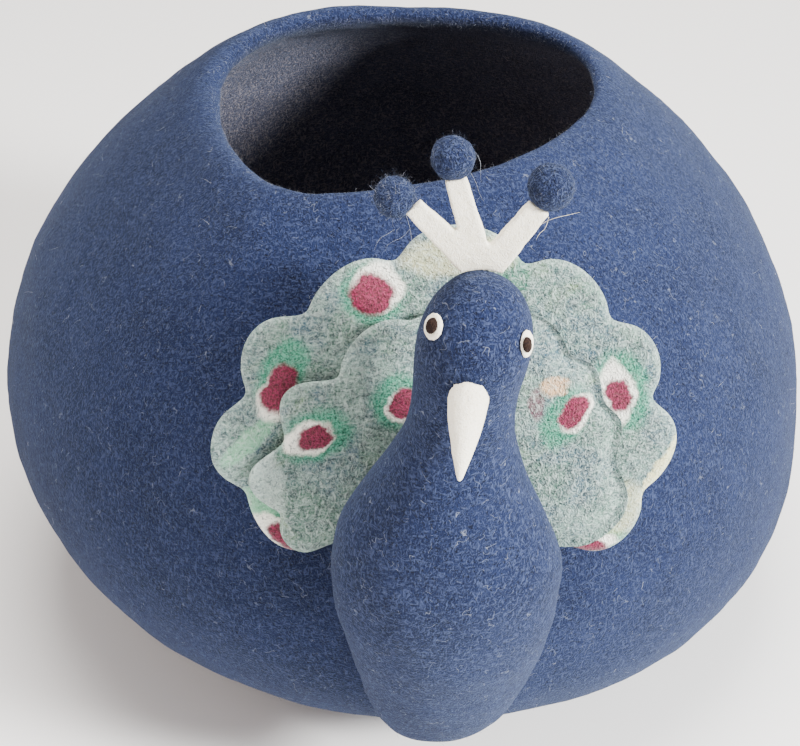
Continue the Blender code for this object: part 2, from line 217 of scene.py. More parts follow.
def swayed(tree, vector, noise, reach):
    # moves each place to and fro by a coloured noise
    sway = vectorCalc(tree, "SUBTRACT", noise, (0.5, 0.5, 0.5))
    return vectorCalc(tree, "ADD", vector, vectorCalc(tree, "SCALE", sway, scale=reach))


def newGroup(name, inputs, outputs):
    tree = bpy.data.node_groups.new(name, "ShaderNodeTree")
    for label, kind, value in inputs:
        socket = tree.interface.new_socket(name=label, in_out="INPUT", socket_type="NodeSocket" + kind)
        if value is not None:
            socket.default_value = value
    for label, kind in outputs:
        tree.interface.new_socket(name=label, in_out="OUTPUT", socket_type="NodeSocket" + kind)
    return tree, tree.nodes.new("NodeGroupInput").outputs, tree.nodes.new("NodeGroupOutput").inputs


def placeGroup(tree, group, values):
    node = tree.nodes.new("ShaderNodeGroup")
    node.node_tree = group
    for name, value in values.items():
        feed(tree, node.inputs[name], value)
    return node.outputs


# shader groups: what every felt here shares

wool = {
    "outputs": ("Fibres", "Flecks", "Pits", "Patches", "Height"),
    # crossing layers of short fibres: turn, stretch, scale and strength
    "layers": (
        ((0.3, 0.9, 0.2), (1.0, 1.0, 0.26), 1.0, 1.0),
        ((1.2, 0.2, 1.1), (1.0, 0.26, 1.0), 1.15, 0.7),
        ((0.7, 1.7, 2.1), (0.26, 1.0, 1.0), 0.9, 0.85),
        ((2.0, 0.6, 0.9), (1.0, 0.30, 1.0), 1.3, 0.5),
    ),
    "fibreRange": (0.56, 0.78),
    "swayScale": 0.3,
    "swayReach": 3.0,  # fibre sizes
    "fleckScale": 1.25,
    "fleckRange": (0.34, 0.66),
    "pitScale": 0.8,
    "pitRange": (0.45, 0.27),
    "pitShift": (1.3, 0.7, 2.9),  # keeps the pits' noise apart from the flecks'
    "patchScale": 26.0,  # to the metre; the other scales are to the fibre size
    "patchRange": (0.26, 0.74),
    "pillScale": 0.35,
    "heights": {"Fibres": 0.5, "Flecks": 0.25, "Pits": -0.5, "pills": 0.6},
}


def makeWoolGrain():
    # matted wool: short crossing fibres, flecks, sunken pits that are given painted shade, broad
    # patches, and the height of it all
    tree, given, result = newGroup(
        "woolGrain",
        [("Vector", "Vector", None), ("Size", "Float", 0.001)],
        [(label, "Float") for label in wool["outputs"]],
    )
    place = given["Vector"]
    density = calc(tree, "DIVIDE", 1.0, given["Size"])

    def noiseAt(vector, scale, detail=1.0, output="Fac"):
        return noiseOf(tree, vector, calc(tree, "MULTIPLY", density, scale), detail, output)

    reach = calc(tree, "MULTIPLY", given["Size"], wool["swayReach"])
    bent = swayed(tree, place, noiseAt(place, wool["swayScale"], output="Color"), reach)
    fibres = None
    for turn, stretch, scale, strength in wool["layers"]:
        values = {"Vector": bent, "Rotation": turn, "Scale": stretch}
        layer = addNode(tree, "ShaderNodeMapping", values).outputs[0]
        dashes = ramped(tree, noiseAt(layer, scale, detail=0.0), *wool["fibreRange"])
        dashes = calc(tree, "MULTIPLY", dashes, strength)
        fibres = dashes if fibres is None else calc(tree, "MAXIMUM", fibres, dashes)
    flecks = ramped(tree, noiseAt(place, wool["fleckScale"], detail=1.5), *wool["fleckRange"])
    moved = vectorCalc(tree, "ADD", place, wool["pitShift"])
    pits = ramped(tree, noiseAt(moved, wool["pitScale"], detail=1.5), *wool["pitRange"])
    patches = noiseOf(tree, place, wool["patchScale"], detail=5.0, roughness=0.72)
    patches = ramped(tree, patches, *wool["patchRange"])
    pills = noiseAt(place, wool["pillScale"], detail=2.0)
    heights = wool["heights"]
    height = calc(tree, "MULTIPLY", flecks, heights["Flecks"])
    height = calc(tree, "MULTIPLY_ADD", fibres, heights["Fibres"], height)
    height = calc(tree, "MULTIPLY_ADD", pills, heights["pills"], height)
    height = calc(tree, "MULTIPLY_ADD", pits, heights["Pits"], height)
    for label, value in zip(wool["outputs"], (fibres, flecks, pits, patches, height)):
        feed(tree, result[label], value)
    return tree


stray = {
    "shift": (2.1, 5.3, 0.4),
    "gateScale": 1.6,  # where the hairs are let through, against their own scale
    "gateRange": (0.57, 0.63),
}


def makeStrayHairs():
    # a few long curling hairs felted into the surface
    tree, given, result = newGroup(
        "strayHairs",
        [("Vector", "Vector", None), ("Length", "Float", 0.01), ("Width", "Float", 0.012)],
        [("Hairs", "Float")],
    )
    scale = calc(tree, "DIVIDE", 1.0, given["Length"])
    # a hair runs where the noise passes its middle value
    apart = calc(tree, "SUBTRACT", noiseOf(tree, given["Vector"], scale, detail=2.0), 0.5)
    line = ramped(tree, calc(tree, "ABSOLUTE", apart), 0.0, given["Width"], 1.0, 0.0)
    moved = vectorCalc(tree, "ADD", given["Vector"], stray["shift"])
    gate = noiseOf(tree, moved, calc(tree, "MULTIPLY", scale, stray["gateScale"]))
    gate = ramped(tree, gate, *stray["gateRange"])
    feed(tree, result["Hairs"], calc(tree, "MULTIPLY", line, gate))
    return tree


spot = {
    "wobbles": ((120.0, 0.0060), (650.0, 0.0022)),  # scale and reach, in metres, of its uneven edge
    "corePower": 2.6,  # 2 is an ellipse, more is squarer
    "coreRange": (0.80, 1.14),
    "haloFull": 0.74,  # share of the rim's size inside which it is whole
    "greenPower": 2.2,
    "greenFull": 0.62,
}


def makeDyedSpot():
    # a dab of coloured wool with a pale rim and a green one, each with its own offset and soft edge
    tree, given, result = newGroup(
        "dyedSpot",
        [
            ("Vector", "Vector", None),
            ("Centre", "Vector", None),
            ("Half Size", "Vector", None),
            ("Turn", "Vector", None),
            ("Squareness", "Float", 2.6),
            ("Halo Shift", "Vector", None),
            ("Halo Size", "Float", 1.4),
            ("Green Shift", "Vector", None),
            ("Green Size", "Float", 2.0),
        ],
        [("Core", "Float"), ("Halo", "Float"), ("Green", "Float")],
    )
    wobbled = given["Vector"]
    for scale, reach in spot["wobbles"]:
        noise = noiseOf(tree, given["Vector"], scale, detail=2.0, output="Color")
        wobbled = swayed(tree, wobbled, noise, reach)

    def distance(shift, power):
        centre = vectorCalc(tree, "ADD", given["Centre"], shift) if shift else given["Centre"]
        values = {"Vector": wobbled, "Location": centre, "Rotation": given["Turn"]}
        values["Scale"] = given["Half Size"]
        node = addNode(tree, "ShaderNodeMapping", values, vector_type="TEXTURE")
        flat = vectorCalc(tree, "MULTIPLY", node.outputs[0], (1.0, 1.0, 0.0))
        flat = vectorCalc(tree, "ABSOLUTE", flat)
        axes = addNode(tree, "ShaderNodeSeparateXYZ", {"Vector": flat}).outputs
        powers = [calc(tree, "POWER", axes[i], power) for i in (0, 1)]
        return calc(tree, "POWER", calc(tree, "ADD", *powers), calc(tree, "DIVIDE", 1.0, power))

    core = ramped(tree, distance(None, spot["corePower"]), *spot["coreRange"], 1.0, 0.0)
    haloFull = calc(tree, "MULTIPLY", given["Halo Size"], spot["haloFull"])
    halo = distance(given["Halo Shift"], given["Squareness"])
    halo = ramped(tree, halo, haloFull, given["Halo Size"], 1.0, 0.0)
    greenFull = calc(tree, "MULTIPLY", given["Green Size"], spot["greenFull"])
    green = distance(given["Green Shift"], spot["greenPower"])
    green = ramped(tree, green, greenFull, given["Green Size"], 1.0, 0.0)
    for name, value in (("Core", core), ("Halo", halo), ("Green", green)):
        feed(tree, result[name], value)
    return tree


woolGrain = makeWoolGrain()
strayHairs = makeStrayHairs()
dyedSpot = makeDyedSpot()


feltRoughness = 0.95
feltSpecular = 0.15


def newFelt(name, sheen, bump):
    # a felt material with its grain; the last of what it gives is the socket that takes the colour
    material = bpy.data.materials.new(name)
    material.use_nodes = True
    tree = material.node_tree
    shader = tree.nodes["Principled BSDF"]
    shader.inputs["Roughness"].default_value = feltRoughness
    shader.inputs["Specular IOR Level"].default_value = feltSpecular
    shader.inputs["Sheen Weight"].default_value = sheen["weight"]
    shader.inputs["Sheen Roughness"].default_value = sheen["roughness"]
    shader.inputs["Sheen Tint"].default_value = (*sheen["tint"], 1.0)
    place = addNode(tree, "ShaderNodeTexCoord").outputs["Object"]
    grain = placeGroup(tree, woolGrain, {"Vector": place, "Size": bump["size"]})
    values = {"Height": grain["Height"], "Strength": bump["strength"], "Distance": bump["depth"]}
    feed(tree, shader.inputs["Normal"], addNode(tree, "ShaderNodeBump", values).outputs[0])
    return material, tree, place, grain, shader.inputs["Base Color"]


def heatheredFelt(name, look):
    # wool of one dye with darker and paler fibres carded through it
    material, tree, place, grain, target = newFelt(name, look["sheen"], look["bump"])
    colour = mixed(tree, grain["Patches"], look["dark"], look["main"])
    colour = layered(tree, colour, grain["Flecks"], look["fleck"], look["mid"])
    colour = layered(tree, colour, grain["Fibres"], look["fibre"], look["pale"])
    # painted shade: the grain's sunken pits are darkened
    colour = layered(tree, colour, grain["Pits"], look["pitShade"], look["pitShadeColour"])
    values = {"Vector": place, "Length": look["strayLength"], "Width": look["strayWidth"]}
    strays = placeGroup(tree, strayHairs, values)["Hairs"]
    # inside the hollow the colour is multiplied lighter and browner: painted light standing in for the
    # light in the hollow's shade
    if "inside" in look:
        mask = addNode(tree, "ShaderNodeAttribute", attribute_name="inside").outputs["Fac"]
        colour = mixed(tree, mask, colour, mixed(tree, 1.0, colour, look["inside"], "MULTIPLY"))
    colour = layered(tree, colour, strays, look["stray"], look["strayColour"])
    feed(tree, target, colour)
    return material


# fleck, fibre, pit and stray are strengths, pit being that of the painted shade in the sunken pits;
# strayLength and the bump's size and depth are in metres
softSheen = {"weight": 0.10, "roughness": 0.45, "tint": (0.50, 0.66, 1.0)}
navyLook = {
    "dark": (0.0026, 0.0046, 0.018),
    "main": (0.0080, 0.0140, 0.049),
    "mid": (0.0116, 0.0200, 0.064),
    "pale": (0.046, 0.064, 0.140),
    # the pit colour is painted shade in the felt's sunken pits
    "pitShadeColour": (0.003, 0.004, 0.011),
    "fleck": 0.60,
    "fibre": 0.58,
    "pitShade": 0.75,
    "stray": 0.30,
    "strayLength": 0.010,
    "strayWidth": 0.010,
    "strayColour": (0.26, 0.29, 0.36),
    "sheen": softSheen,
    "bump": {"size": 0.0011, "strength": 0.75, "depth": 0.0010},
}
# the inside tint is painted light: it lifts the hollow's shaded felt lighter and browner
caveFelt = heatheredFelt("caveFelt", {**navyLook, "inside": (8.6, 5.4, 2.5)})
birdFelt = heatheredFelt("birdFelt", {**navyLook, "fibre": 0.72, "stray": 0.45})
ballLook = {**navyLook, "fibre": 0.85, "bump": {"size": 0.0010, "strength": 1.0, "depth": 0.0014}}
ballFelt = heatheredFelt("ballFelt", ballLook)
creamLook = {
    **navyLook,
    "dark": (0.84, 0.77, 0.60),
    "main": (0.92, 0.88, 0.74),
    "mid": (0.94, 0.91, 0.79),
    "pale": (0.97, 0.95, 0.88),
    "pitShadeColour": (0.66, 0.58, 0.42),
    "pitShade": 0.35,
    "strayColour": (0.62, 0.54, 0.40),
    "stray": 0.25,
    "sheen": {"weight": 0.2, "roughness": 0.5, "tint": (1.0, 0.98, 0.92)},
    "bump": {"size": 0.0008, "strength": 0.5, "depth": 0.0006},
}
creamFelt = heatheredFelt("creamFelt", creamLook)
darkLook = {
    **navyLook,
    "dark": (0.006, 0.003, 0.002),
    "main": (0.012, 0.006, 0.004),
    "mid": (0.020, 0.010, 0.007),
    "pale": (0.055, 0.032, 0.024),
    "strayColour": (0.050, 0.035, 0.028),
    "sheen": {"weight": 0.0, "roughness": 0.5, "tint": (1.0, 1.0, 1.0)},
    "bump": {"size": 0.0005, "strength": 0.5, "depth": 0.0004},
}
darkFelt = heatheredFelt("darkFelt", darkLook)
fibreLook = {
    **navyLook,
    "dark": (0.030, 0.046, 0.100),
    "main": (0.065, 0.092, 0.175),
    "mid": (0.110, 0.145, 0.240),
    "pale": (0.26, 0.29, 0.37),
    "pitShade": 0.0,
}
fibreWool = heatheredFelt("fibreWool", fibreLook)
hairLook = {
    **fibreLook,
    "dark": (0.12, 0.14, 0.20),
    "main": (0.26, 0.28, 0.34),
    "mid": (0.40, 0.42, 0.46),
    "pale": (0.55, 0.56, 0.58),
}
hairWool = heatheredFelt("hairWool", hairLook)
lipLook = {
    **fibreLook,
    "dark": (0.050, 0.062, 0.100),
    "main": (0.13, 0.15, 0.21),
    "mid": (0.20, 0.21, 0.27),
    "pale": (0.38, 0.38, 0.42),
}
lipWool = heatheredFelt("lipWool", lipLook)
paleLook = {
    **creamLook,
    "dark": (0.46, 0.50, 0.46),
    "main": (0.60, 0.64, 0.60),
    "mid": (0.72, 0.75, 0.72),
    "pitShade": 0.0,
}
paleWool = heatheredFelt("paleWool", paleLook)
print("materials made")


# the pot

cave = {
    "lumpSize": 0.048,
    "lumpHeight": 0.0030,
    "pitSize": 0.016,
    "pitHeight": 0.0010,
    "seatClear": 0.004,  # the lumps fade where the bird and its tail are sewn on
    "seatFade": 0.022,
    "floorFade": 0.030,
    "coatFloor": (0.006, 0.030),  # the coat of loose fibres begins above the floor
    "insideTop": (0.286, 0.317),  # painted light: the hollow's felt, made lighter and browner for the light in its shade, ends below the lip
    "lipHeight": (0.299, 0.305),  # a second coat covers the lip
    "lipFacing": (0.55, 0.85),
    "middle": (0.004, 0.0, 0.130),  # of the hollow
    "insideFacing": (-0.70, 0.10),  # a normal's share away from the middle, from inside to outside
    "coatInside": 0.8,  # how much of the coat is missing inside
}


def makeCave():
    piece = finerCopy("cave_shell", "felt_pot")
    seatDistance = distanceTo(("bird_body", "tail_back", "tail_front"))

    def lumpShare(vertex):
        near = seatDistance(vertex.co)
        free = smoothStep(cave["seatClear"], cave["seatClear"] + cave["seatFade"], near)
        return free * smoothStep(0.0, cave["floorFade"], vertex.co.z)

    vertexMask(piece, "free", lumpShare)
    lumps(piece, cave["lumpSize"], cave["lumpHeight"], "free")
    lumps(piece, cave["pitSize"], cave["pitHeight"], "free")
    middle = Vector(cave["middle"])
    inside, coat, lip = [], [], []
    for vertex in piece.data.vertices:
        height = vertex.co.z
        facing = vertex.normal.dot((vertex.co - middle).normalized())
        below = 1 - smoothStep(*cave["insideTop"], height)
        hidden = (1 - smoothStep(*cave["insideFacing"], facing)) * below
        inside.append(hidden)
        coat.append((1 - cave["coatInside"] * hidden) * smoothStep(*cave["coatFloor"], height))
        lip.append(smoothStep(*cave["lipHeight"], height) * (1 - smoothStep(*cave["lipFacing"], facing)))
    # this inside mask also carries the painted light of the hollow's felt
    pointAttribute(piece, "inside", inside)
    pointAttribute(piece, "coat", coat)
    pointAttribute(piece, "lip", lip)
    return finishPiece(piece, caveFelt, "cave_shell")


felt = {}
felt["cave"] = makeCave()
print("pot made")


# the tail: two sheets, read in metres across (X) and along (from the foot up)

tail = {
    "foot": 0.190,
    "lean": math.radians(8.5),
    "patternSize": 0.30,  # metres that the UV square covers
    "patternCorner": (-0.12, -0.06),
    "rimFacing": 0.35,  # a normal this far from the sheet's own is on its rim
    "edgeRound": 0.0035,  # the face falls to the rim over this width
    "edgeDrop": 0.0007,
    "feltedDown": 0.0038,  # the front sheet thins to its right edge by this
    "feltedWidth": 0.012,
    "feltedFrom": (0.040, 0.070),  # across, where that begins and is full
    "lightEdge": 0.0040,
    "coatMiddle": 0.12,  # share of the coat of fibres away from the rim
    "rearFlat": (0.219, 0.170),  # flat size and the area of one face, measured on the built sheets
    "rearArea": 0.0285,
    "frontFlat": (0.181, 0.128),
    "frontArea": 0.0182,
}


def sheetPlace(point):
    return point.x, (point.z - tail["foot"]) / math.cos(tail["lean"])


def makeSheet(node, name, material, feltedDown=0.0):
    piece = finerCopy(node, name)
    forward = Vector((0, -math.cos(tail["lean"]), math.sin(tail["lean"])))
    rim = [
        vertex.co.copy()
        for vertex in piece.data.vertices
        if abs(vertex.normal.dot(forward)) < tail["rimFacing"]
    ]
    rimTree = KDTree(len(rim))
    for index, point in enumerate(rim):
        rimTree.insert(point, index)
    rimTree.balance()
    edge, places = [], []
    for vertex in piece.data.vertices:
        away = rimTree.find(vertex.co)[2]
        facing = max(vertex.normal.dot(forward), 0.0)
        onRight = smoothStep(*tail["feltedFrom"], vertex.co.x) if feltedDown else 0.0
        edge.append((1 - onRight) * (1 - smoothStep(0.0, tail["lightEdge"], away)))
        drop = tail["edgeDrop"] * (1 - smoothStep(0.0, tail["edgeRound"], away)) * (1 - onRight)
        drop += feltedDown * onRight * (1 - smoothStep(0.0, tail["feltedWidth"], away))
        places.append(vertex.co - forward * drop * facing)
    for vertex, place in zip(piece.data.vertices, places):
        vertex.co = place
    pointAttribute(piece, "rim", edge)
    least = tail["coatMiddle"]
    pointAttribute(piece, "coat", [least + (1 - least) * value for value in edge])
    layer = piece.data.uv_layers.new(name="pattern")
    corner = tail["patternCorner"]
    for loop in piece.data.loops:
        across, along = sheetPlace(piece.data.vertices[loop.vertex_index].co)
        layer.data[loop.index].uv = (
            (across - corner[0]) / tail["patternSize"],
            (along - corner[1]) / tail["patternSize"],
        )
    finishPiece(piece, material, node)
    return piece


# drifts of dye: offset of the noise, its scale, where the dye begins and is full, strength, colour
driftNoise = {"detail": 4.0, "distortion": 0.8, "roughness": 0.6}
mainDrift = ((0.0, 0.0), 34.0, 0.38, 0.60)  # from blue to green
drifts = (
    ((3.1, 1.7), 30.0, 0.46, 0.68, 0.70, "light"),
    ((7.3, 4.9), 45.0, 0.56, 0.72, 0.45, "olive"),
    ((1.9, 8.2), 60.0, 0.54, 0.72, 0.45, "grey"),
    ((5.5, 2.6), 230.0, 0.46, 0.60, 0.70, "grey"),
    ((8.8, 6.1), 300.0, 0.50, 0.62, 0.60, "light"),
)
# dyed spots: centre across and along, half sizes, turn, pale rim's shift, size and squareness,
# green's shift and size
rearSpots = (
    ((-0.0116, 0.1340), (0.0100, 0.0106), 38, (0.0030, 0.0030), 1.28, 2.6, (0.0005, -0.0005), 1.75),
    ((-0.0550, 0.0880), (0.0076, 0.0132), -22, (-0.0014, -0.0026), 1.16, 2.6, (0.0020, 0.0090), 1.70),
    ((-0.0545, 0.0075), (0.0105, 0.0050), -45, (-0.0050, 0.0050), 1.35, 2.6, (-0.0030, 0.0070), 2.0),
    ((0.1039, 0.0847), (0.0058, 0.0092), 10, (-0.0018, 0.0012), 2.15, 1.25, (0.0010, 0.0020), 2.7),
    ((0.0915, 0.0010), (0.0110, 0.0034), 4, (0.0, 0.0036), 1.5, 2.6, (0.004, 0.006), 1.7),
)
frontSpots = (
    ((-0.0388, 0.0660), (0.0086, 0.0069), 15, (-0.0024, -0.0004), 1.52, 2.2, (0.0010, 0.0000), 2.4),
    ((0.0030, 0.0798), (0.0068, 0.0086), -8, (-0.0010, -0.0012), 1.20, 2.6, (-0.0030, 0.0020), 2.1),
    ((0.0826, 0.0772), (0.0056, 0.0100), -25, (0.0012, -0.0004), 1.27, 2.6, (-0.0042, -0.0036), 2.1),
)
# smears of other dye, one of them partly painted sunlight: centre, half sizes, turn, colour, strength
rearSmears = (
    ((0.1262, 0.0470), (0.0030, 0.0180), -24, "yellow", 0.85),
    ((-0.0664, 0.0269), (0.0080, 0.0090), 0, "mint", 0.75),
    ((-0.0700, 0.0640), (0.0042, 0.0125), -52, "mint", 0.65),
    ((0.0535, 0.1450), (0.0060, 0.0100), 10, "ring", 0.55),
    ((0.0280, 0.1530), (0.0220, 0.0075), 4, "yellow", 0.45),
    ((0.1060, 0.0230), (0.0090, 0.0130), -20, "yellow", 0.40),
)
frontSmears = (
    ((0.0735, 0.0905), (0.0056, 0.0040), 22, "orange", 0.75),
    ((0.0653, 0.0800), (0.0028, 0.0064), 0, "rose", 0.40),
    # partly the felt's own pale streak and partly painted sunlight on the lower left lobes
    ((-0.0620, 0.0480), (0.0060, 0.0190), 12, "white", 0.40),
)


def marbledFelt(name, spots, smears, look):
    material, tree, _, grain, target = newFelt(name, look["sheen"], look["bump"])
    flat = addNode(tree, "ShaderNodeUVMap", uv_map="pattern").outputs[0]
    size = tail["patternSize"]
    values = {"Vector": flat, "Scale": (size, size, 1.0), "Location": (*tail["patternCorner"], 0.0)}
    metres = addNode(tree, "ShaderNodeMapping", values).outputs[0]

    def drift(offset, scale, low, high):
        moved = vectorCalc(tree, "ADD", metres, (*offset, 0.0))
        return ramped(tree, noiseOf(tree, moved, scale, **driftNoise), low, high)

    def placeSpot(centre, half, turn, others):
        values = {
            "Vector": metres,
            "Centre": (*centre, 0.0),
            "Half Size": (*half, 1.0),
            "Turn": (0.0, 0.0, math.radians(turn)),
        }
        return placeGroup(tree, dyedSpot, values | others)

    colour = mixed(tree, drift(*mainDrift), look["blue"], look["green"])
    for offset, scale, low, high, strength, tint in drifts:
        colour = layered(tree, colour, drift(offset, scale, low, high), strength, look[tint])
    whitened = mixed(tree, look["fleckWhite"], colour, look["white"])
    colour = layered(tree, colour, grain["Flecks"], look["fleck"], whitened)
    found = []
    for centre, half, turn, haloShift, haloSize, squareness, greenShift, greenSize in spots:
        others = {
            "Squareness": squareness,
            "Halo Shift": (*haloShift, 0.0),
            "Halo Size": haloSize,
            "Green Shift": (*greenShift, 0.0),
            "Green Size": greenSize,
        }
        found.append(placeSpot(centre, half, turn, others))

    def together(label):
        mask = found[0][label]
        for outputs in found[1:]:
            mask = calc(tree, "MAXIMUM", mask, outputs[label])
        return mask

    green = together("Green")
    core = together("Core")
    ringWool = mixed(tree, grain["Flecks"], look["ring"], look["ringLight"])
    colour = layered(tree, colour, green, look["greenStrength"], ringWool)
    # one front smear is partly painted sunlight
    for centre, half, turn, tint, strength in smears:
        smear = placeSpot(centre, half, turn, {"Green Size": look["smearSize"]})["Green"]
        colour = layered(tree, colour, smear, strength, look[tint])
    colour = layered(tree, colour, together("Halo"), look["haloStrength"], look["cream"])
    crimsonWool = mixed(tree, grain["Flecks"], look["crimson"], look["rose"])
    colour = layered(tree, colour, core, look["coreStrength"], crimsonWool)
    # pale fibres show less over the spots
    overCore = calc(tree, "MULTIPLY", core, look["overCore"])
    overGreen = calc(tree, "MULTIPLY", green, look["overGreen"])
    bare = calc(tree, "SUBTRACT", 1.0, calc(tree, "MAXIMUM", overCore, overGreen))
    fibres = calc(tree, "MULTIPLY", grain["Fibres"], bare)
    colour = layered(tree, colour, fibres, look["fibre"], look["white"])
    # painted shade: the sunken pits are darkened by the shadow tint
    colour = layered(tree, colour, grain["Pits"], look["pitShade"], look["shadow"], "MULTIPLY")
    rim = addNode(tree, "ShaderNodeAttribute", attribute_name="rim").outputs["Fac"]
    colour = layered(tree, colour, rim, look["rim"], look["white"])
    feed(tree, target, colour)
    return material


marbledLook = {
    "blue": (0.046, 0.096, 0.132),
    "green": (0.066, 0.142, 0.106),
    "light": (0.22, 0.33, 0.29),
    "olive": (0.19, 0.27, 0.11),
    "grey": (0.030, 0.048, 0.058),
    "ring": (0.012, 0.150, 0.085),
    "ringLight": (0.09, 0.37, 0.245),
    "mint": (0.22, 0.52, 0.32),
    "cream": (0.96, 0.95, 0.86),
    "yellow": (0.80, 0.76, 0.42),
    "orange": (0.85, 0.52, 0.28),
    "crimson": (0.095, 0.001, 0.016),
    "rose": (0.235, 0.004, 0.058),
    "shadow": (0.34, 0.38, 0.40),
    "white": (0.60, 0.72, 0.68),
    "fleck": 0.45,
    "fleckWhite": 0.45,
    "fibre": 0.42,
    "pitShade": 0.70,
    "rim": 0.18,
    "coreStrength": 0.97,
    "haloStrength": 0.95,
    "greenStrength": 0.88,
    "overCore": 0.96,  # how much of the pale fibres the crimson hides
    "overGreen": 0.7,
    "smearSize": 1.5,
    "sheen": {"weight": 0.05, "roughness": 0.5, "tint": (0.92, 1.0, 0.96)},
    "bump": {"size": 0.0012, "strength": 0.75, "depth": 0.0011},
}
rearFelt = marbledFelt("rearTailFelt", rearSpots, rearSmears, marbledLook)
frontFelt = marbledFelt("frontTailFelt", frontSpots, frontSmears, marbledLook)
felt["rearTail"] = makeSheet("tail_back", "rear_tail", rearFelt)
felt["frontTail"] = makeSheet(
    "tail_front", "front_tail", frontFelt, tail["feltedDown"]
)
print("tail made")


# the bird

bird = {"lumpSize": 0.030, "lumpHeight": 0.0016, "seatFade": 0.010}


def makeBird():
    piece = finerCopy("bird_body", "peacock_body")
    seatDistance = distanceTo(("cave_shell", "tail_back", "tail_front"))

    def lumpShare(vertex):
        return smoothStep(0.0, bird["seatFade"], seatDistance(vertex.co))

    vertexMask(piece, "free", lumpShare)
    lumps(piece, bird["lumpSize"], bird["lumpHeight"], "free")
    pointAttribute(piece, "coat", [lumpShare(vertex) for vertex in piece.data.vertices])
    finishPiece(piece, birdFelt, "bird_body")
    return piece


felt["bird"] = makeBird()


def softCopy(node, name, voxel, smoothing, lumpSize, lumpHeight, material, slot):
    # small felted pieces: every edge rounded over, the surface a little uneven
    piece = copyOfNode(node, name)
    applyModifier(piece, "REMESH", mode="VOXEL", voxel_size=voxel)
    applyModifier(piece, "SMOOTH", factor=0.5, iterations=smoothing)
    lumps(piece, lumpSize, lumpHeight)
    return finishPiece(piece, material, node)


def spreadOut(piece, share):
    # a little wider about its own middle
    places = [vertex.co.copy() for vertex in piece.data.vertices]
    middle = sum(places, Vector()) / len(places)
    for vertex, place in zip(piece.data.vertices, places):
        vertex.co = middle + (place - middle) * share


eyeDotSpread = 1.25
smallPieces = (
    # frame node, piece, voxel, smoothing, lump size, lump height, material, slot
    ("beak", "peacock_beak", 0.0008, 6, 0.009, 0.0006, creamFelt, "cream_felt"),
    ("eye_white_left", "left_eye_ring", 0.00035, 4, 0.003, 0.0005, creamFelt, "cream_felt"),
    ("eye_white_right", "right_eye_ring", 0.00035, 4, 0.003, 0.0005, creamFelt, "cream_felt"),
    ("eye_pupil_left", "left_eye_dot", 0.00030, 3, 0.003, 0.0003, darkFelt, "dark_felt"),
    ("eye_pupil_right", "right_eye_dot", 0.00030, 3, 0.003, 0.0003, darkFelt, "dark_felt"),
    ("crest_ball_left", "left_crest_ball", 0.0009, 3, 0.006, 0.0012, ballFelt, "navy_felt"),
    ("crest_ball_middle", "middle_crest_ball", 0.0009, 3, 0.006, 0.0012, ballFelt, "navy_felt"),
    ("crest_ball_right", "right_crest_ball", 0.0009, 3, 0.006, 0.0012, ballFelt, "navy_felt"),
    ("crest_prongs", "peacock_crest", 0.0007, 4, 0.008, 0.0008, creamFelt, "cream_felt"),
)
for row in smallPieces:
    felt[row[1]] = softCopy(*row)
for name in ("left_eye_dot", "right_eye_dot"):
    spreadOut(felt[name], eyeDotSpread)
for name in ("left_crest_ball", "middle_crest_ball", "right_crest_ball", "peacock_crest"):
    pointAttribute(felt[name], "coat", [1.0] * len(felt[name].data.vertices))
print("bird made")


# loose fibres that stand off the felt

# bend and aside are the most that a fibre turns at each step, taper is what it keeps of its width
fibreShapes = {
    "long": {"kinds": 6, "steps": 3, "length": 0.0060, "width": 0.00011,
             "bend": 0.45, "aside": 0.35, "taper": 0.72},
    "curly": {"kinds": 8, "steps": 5, "length": 0.0056, "width": 0.00010,
              "bend": 0.95, "aside": 0.80, "taper": 0.85},
    "coarse": {"kinds": 8, "steps": 5, "length": 0.0056, "width": 0.00019,
               "bend": 0.90, "aside": 0.80, "taper": 0.82},
}
fibreSeed = 11


def growFibre(name, shape, turns):
    # one bent fibre, thinner towards its tip
    deselectAll()
    bpy.ops.mesh.primitive_circle_add(vertices=3, radius=shape["width"] / 2, fill_type="NGON")
    piece = bpy.context.active_object
    piece.name = name
    bpy.ops.object.mode_set(mode="EDIT")
    bpy.ops.mesh.select_all(action="SELECT")
    step = shape["length"] / shape["steps"]
    tip = Vector((0, 0, 0))
    lean, aside = 0.0, 0.0
    for turnX, turnY in turns:
        lean += turnX
        aside += turnY
        move = Vector((math.sin(aside), math.sin(lean), math.cos(lean) * math.cos(aside))) * step
        tip += move
        bpy.ops.mesh.extrude_region_move(TRANSFORM_OT_translate={"value": move})
        bpy.ops.transform.resize(value=(shape["taper"],) * 3, center_override=tip)
    bpy.ops.mesh.select_all(action="SELECT")
    bpy.ops.mesh.normals_make_consistent(inside=False)
    bpy.ops.object.mode_set(mode="OBJECT")
    bpy.ops.object.shade_smooth()
    return piece


def makeFibreKinds(label, shape):
    draw = random.Random(fibreSeed)
    group = bpy.data.collections.new(label + "Fibres")
    for index in range(shape["kinds"]):
        turns = [
            (draw.uniform(-shape["aside"], shape["aside"]), draw.uniform(-shape["bend"], shape["bend"]))
            for _ in range(shape["steps"])
        ]
        piece = growFibre("%s_kind_%d" % (label, index), shape, turns)
        for holder in list(piece.users_collection):
            holder.objects.unlink(piece)
        group.objects.link(piece)
    return group


sideTilt = 0.3


